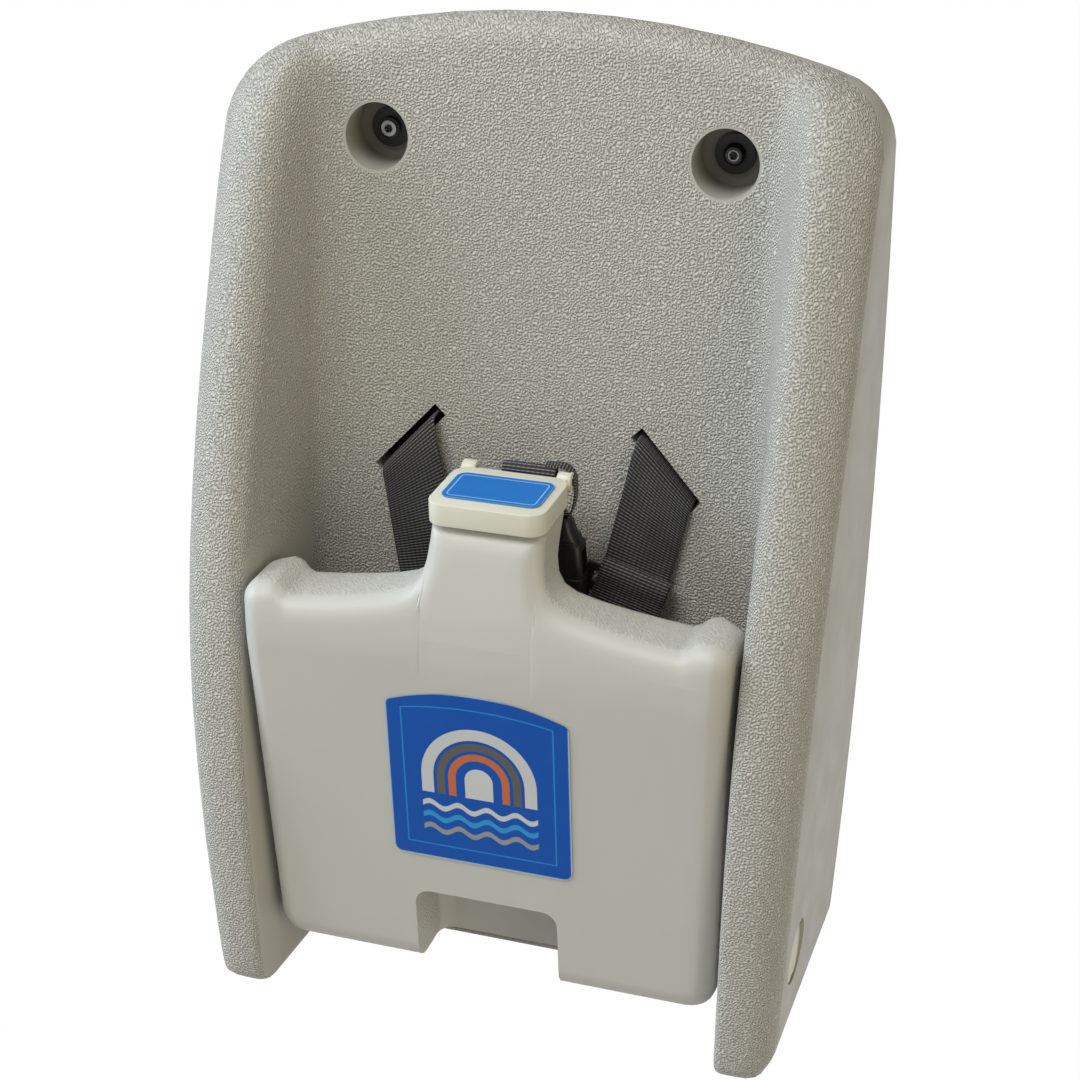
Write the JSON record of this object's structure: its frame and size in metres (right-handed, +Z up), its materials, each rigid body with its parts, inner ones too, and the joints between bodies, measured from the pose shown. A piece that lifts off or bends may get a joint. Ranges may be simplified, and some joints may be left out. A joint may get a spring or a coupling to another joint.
{
  "type": "wall mounted child seat",
  "caption": "Fold-down wall mounted child seat with a winged back shell, a saddle horn seat on a side hinge and a webbing harness.",
  "frame": {"origin": "on the flat rear face, in the middle, at the height of the two mounting screws", "axes": "+Z up, +Y into the wall, +X to the right of someone who faces the wall"},
  "size_m": [0.321, 0.1476, 0.485],
  "materials": {
    "shell_plastic": "grained warm grey beige",
    "seat_plastic": "satin warm grey beige with grained sides",
    "cap_plastic": "satin cream",
    "blue_sign": "printed blue film",
    "webbing": "dark grey ribbed webbing",
    "black_plastic": "black moulded",
    "washer_metal": "black",
    "steel": "bright zinc",
    "bush_plastic": "natural plastic"
  },
  "bodies": {
    "back": {"back_shell": "shell_plastic", "pocket_lid": "black_plastic", "strap_anchor_bar": "steel", "shoulder_strap_left": "webbing", "shoulder_strap_right": "webbing", "harness_tongue": "black_plastic", "pivot_pin_left": "steel", "friction_washer_left": "black_plastic", "pivot_cap_left": "cap_plastic", "mount_screw_left": "steel", "mount_washer_left": "washer_metal", "pivot_pin_right": "steel", "friction_washer_right": "black_plastic", "pivot_cap_right": "cap_plastic", "mount_screw_right": "steel", "mount_washer_right": "washer_metal"},
    "seat": {"seat_body": "seat_plastic", "horn_cap": "cap_plastic", "cap_label": "blue_sign", "seat_sign": "blue_sign", "crotch_strap_pin": "steel", "crotch_strap": "webbing", "buckle_socket": "black_plastic", "pivot_bush_left": "bush_plastic", "pivot_bush_right": "bush_plastic"},
    "slide_left": {"strap_adjuster_left": "black_plastic", "strap_tail_left": "webbing"},
    "slide_right": {"strap_adjuster_right": "black_plastic", "strap_tail_right": "webbing"}
  },
  "joints": [
    {"name": "seat_fold", "type": "hinge", "parent": "back", "child": "seat", "pos_m": [0, -0.104, -0.371], "axis": [1, 0, 0], "range_deg": [0, 90]},
    {"name": "slide_left_adjust", "type": "slide", "parent": "back", "child": "slide_left", "axis": [-0.2103, 0.1436, 0.967], "range_m": [0, 0.02]},
    {"name": "slide_right_adjust", "type": "slide", "parent": "back", "child": "slide_right", "axis": [0.2103, 0.1436, 0.967], "range_m": [-0.02, 0]}
  ]
}
